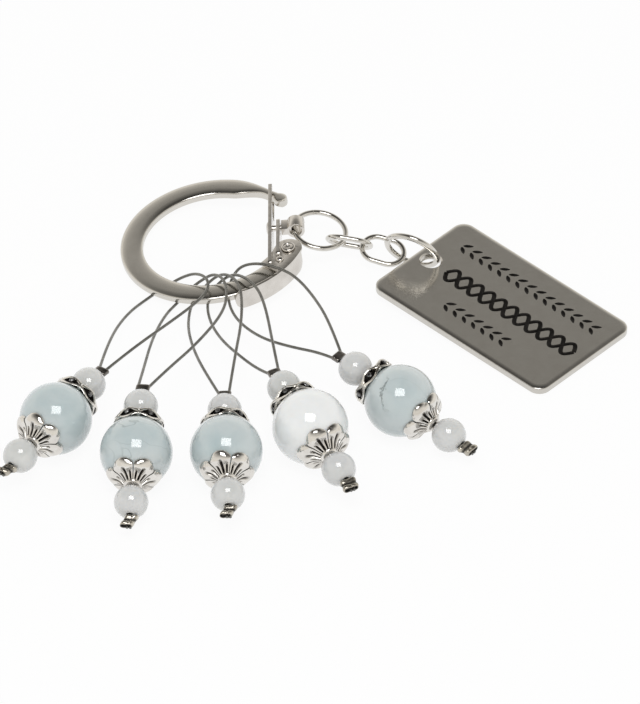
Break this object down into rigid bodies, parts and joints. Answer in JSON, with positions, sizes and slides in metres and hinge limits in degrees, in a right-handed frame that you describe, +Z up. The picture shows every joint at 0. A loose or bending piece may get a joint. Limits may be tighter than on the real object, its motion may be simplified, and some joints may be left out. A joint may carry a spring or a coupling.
{
  "type": "stitch marker set",
  "caption": "Beaded stitch markers with stiff cable loops, gathered on an opening clasp ring with a short chain and a plain tag.",
  "frame": {"origin": "middle of the set's footprint on the surface it lies on", "axes": "+Z up; +X from the first marker's side toward the tag; +Y from the markers' ends toward the clasp ring"},
  "size_m": [0.1039, 0.0883, 0.0126],
  "materials": {
    "hoop_nickel": "polished nickel plate",
    "lever_nickel": "polished nickel plate on formed sheet",
    "rivet_nickel": "polished nickel plate",
    "chain_nickel": "polished nickel plate on wire",
    "tag_steel": "satin plate with a bright rounded rim",
    "cable_coat": "clear coated stranded beading cable",
    "crimp_gunmetal": "dark burnished crimp",
    "small_bead_white": "translucent polished milky bead",
    "large_bead_blue": "translucent polished pale blue stone with veins",
    "large_bead_white": "polished plain white stone",
    "rondelle_silver": "silver plate, darkened in the recesses",
    "stone_black": "faceted black glass",
    "cap_silver": "silver plate, darkened in the grooves"
  },
  "bodies": {
    "root": {"hoop": "hoop_nickel", "pivot_rivet": "rivet_nickel"},
    "gate": {"gate_lever": "lever_nickel", "detent_stud": "rivet_nickel"},
    "swivel": {"swivel_rivet": "rivet_nickel", "swivel_strap": "lever_nickel"},
    "ring_a": {"ring_a": "chain_nickel"},
    "link_b": {"link_b": "chain_nickel"},
    "link_c": {"link_c": "chain_nickel"},
    "ring_d": {"ring_d": "chain_nickel"},
    "tag": {"tag": "tag_steel"},
    "marker_1": {"marker_1_cable": "cable_coat", "marker_1_core_strands": "cable_coat", "marker_1_top_crimp": "crimp_gunmetal", "marker_1_end_crimp": "crimp_gunmetal"},
    "beads_1": {"marker_1_small_beads": "small_bead_white", "marker_1_rondelle_frame": "rondelle_silver", "marker_1_rondelle_stones": "stone_black", "marker_1_large_bead": "large_bead_blue", "marker_1_bead_cap": "cap_silver"},
    "marker_2": {"marker_2_cable": "cable_coat", "marker_2_core_strands": "cable_coat", "marker_2_top_crimp": "crimp_gunmetal", "marker_2_end_crimp": "crimp_gunmetal"},
    "beads_2": {"marker_2_small_beads": "small_bead_white", "marker_2_rondelle_frame": "rondelle_silver", "marker_2_rondelle_stones": "stone_black", "marker_2_large_bead": "large_bead_blue", "marker_2_bead_cap": "cap_silver"},
    "marker_3": {"marker_3_cable": "cable_coat", "marker_3_core_strands": "cable_coat", "marker_3_top_crimp": "crimp_gunmetal", "marker_3_end_crimp": "crimp_gunmetal"},
    "beads_3": {"marker_3_small_beads": "small_bead_white", "marker_3_rondelle_frame": "rondelle_silver", "marker_3_rondelle_stones": "stone_black", "marker_3_large_bead": "large_bead_blue", "marker_3_bead_cap": "cap_silver"},
    "marker_4": {"marker_4_cable": "cable_coat", "marker_4_core_strands": "cable_coat", "marker_4_top_crimp": "crimp_gunmetal", "marker_4_end_crimp": "crimp_gunmetal"},
    "beads_4": {"marker_4_small_beads": "small_bead_white", "marker_4_rondelle_frame": "rondelle_silver", "marker_4_rondelle_stones": "stone_black", "marker_4_large_bead": "large_bead_white", "marker_4_bead_cap": "cap_silver"},
    "marker_5": {"marker_5_cable": "cable_coat", "marker_5_core_strands": "cable_coat", "marker_5_top_crimp": "crimp_gunmetal", "marker_5_end_crimp": "crimp_gunmetal"},
    "beads_5": {"marker_5_small_beads": "small_bead_white", "marker_5_rondelle_frame": "rondelle_silver", "marker_5_rondelle_stones": "stone_black", "marker_5_large_bead": "large_bead_blue", "marker_5_bead_cap": "cap_silver"}
  },
  "joints": [
    {"name": "gate_hinge", "type": "hinge", "parent": "root", "child": "gate", "pos_m": [-0.00447, 0.02339, 0.00452], "axis": [-0.1288, 0, 0.9917], "range_deg": [0, 30]},
    {"name": "swivel_turn", "type": "hinge", "parent": "gate", "child": "swivel", "pos_m": [-0.00587, 0.0302, 0.00454], "axis": [0.9917, 0, 0.1288], "continuous": true},
    {"name": "ring_a_swing", "type": "hinge", "parent": "swivel", "child": "ring_a", "pos_m": [-0.00339, 0.0302, 0.00486], "axis": [0, 0, 1], "range_deg": [-6, 15]},
    {"name": "link_b_swing", "type": "hinge", "parent": "ring_a", "child": "link_b", "pos_m": [0.00339, 0.02687, 0.0044], "axis": [0, 0, 1], "range_deg": [-5, 30]},
    {"name": "link_c_swing", "type": "hinge", "parent": "link_b", "child": "link_c", "pos_m": [0.00854, 0.02764, 0.00325], "axis": [0, 0, 1], "range_deg": [-5, 30]},
    {"name": "ring_d_swing", "type": "hinge", "parent": "link_c", "child": "ring_d", "pos_m": [0.01435, 0.02616, 0.00191], "axis": [0, 0, 1], "range_deg": [-5, 30]},
    {"name": "tag_swing", "type": "hinge", "parent": "ring_d", "child": "tag", "pos_m": [0.01808, 0.02499, 0.00144], "axis": [0, 0, 1], "range_deg": [-5, 30]},
    {"name": "marker_1_lift", "type": "hinge", "parent": "root", "child": "marker_1", "pos_m": [-0.02234, 0.01595, 0.0022], "axis": [-0.9188, 0.3762, -0.1193], "range_deg": [0, 30], "deforming": ["marker_1_cable"]},
    {"name": "beads_1_spin", "type": "hinge", "parent": "marker_1", "child": "beads_1", "pos_m": [-0.04264, -0.02039, 0.006], "axis": [0.5496, 0.8335, 0.0576], "continuous": true},
    {"name": "marker_2_lift", "type": "hinge", "parent": "root", "child": "marker_2", "pos_m": [-0.01893, 0.01506, 0.00264], "axis": [-0.984, 0.1241, -0.1278], "range_deg": [0, 30], "deforming": ["marker_2_cable"]},
    {"name": "beads_2_spin", "type": "hinge", "parent": "marker_2", "child": "beads_2", "pos_m": [-0.02936, -0.0288, 0.006], "axis": [0.0701, 0.9784, 0.1942], "continuous": true},
    {"name": "marker_3_lift", "type": "hinge", "parent": "root", "child": "marker_3", "pos_m": [-0.0169, 0.01495, 0.00291], "axis": [-0.9913, -0.0256, -0.1288], "range_deg": [0, 30], "deforming": ["marker_3_cable"]},
    {"name": "beads_3_spin", "type": "hinge", "parent": "marker_3", "child": "beads_3", "pos_m": [-0.01466, -0.02845, 0.006], "axis": [-0.0314, 0.9983, 0.0489], "continuous": true},
    {"name": "marker_4_lift", "type": "hinge", "parent": "root", "child": "marker_4", "pos_m": [-0.01495, 0.01515, 0.00316], "axis": [-0.9773, -0.1698, -0.1269], "range_deg": [0, 30], "deforming": ["marker_4_cable"]},
    {"name": "beads_4_spin", "type": "hinge", "parent": "marker_4", "child": "beads_4", "pos_m": [-0.00091, -0.02278, 0.0063], "axis": [-0.4359, 0.8958, 0.0872], "continuous": true},
    {"name": "marker_5_lift", "type": "hinge", "parent": "root", "child": "marker_5", "pos_m": [-0.01113, 0.01642, 0.00365], "axis": [-0.8846, -0.4521, -0.1149], "range_deg": [0, 30], "deforming": ["marker_5_cable"]},
    {"name": "beads_5_spin", "type": "hinge", "parent": "marker_5", "child": "beads_5", "pos_m": [0.01387, -0.0159, 0.006], "axis": [-0.7685, 0.6069, 0.2028], "continuous": true}
  ]
}
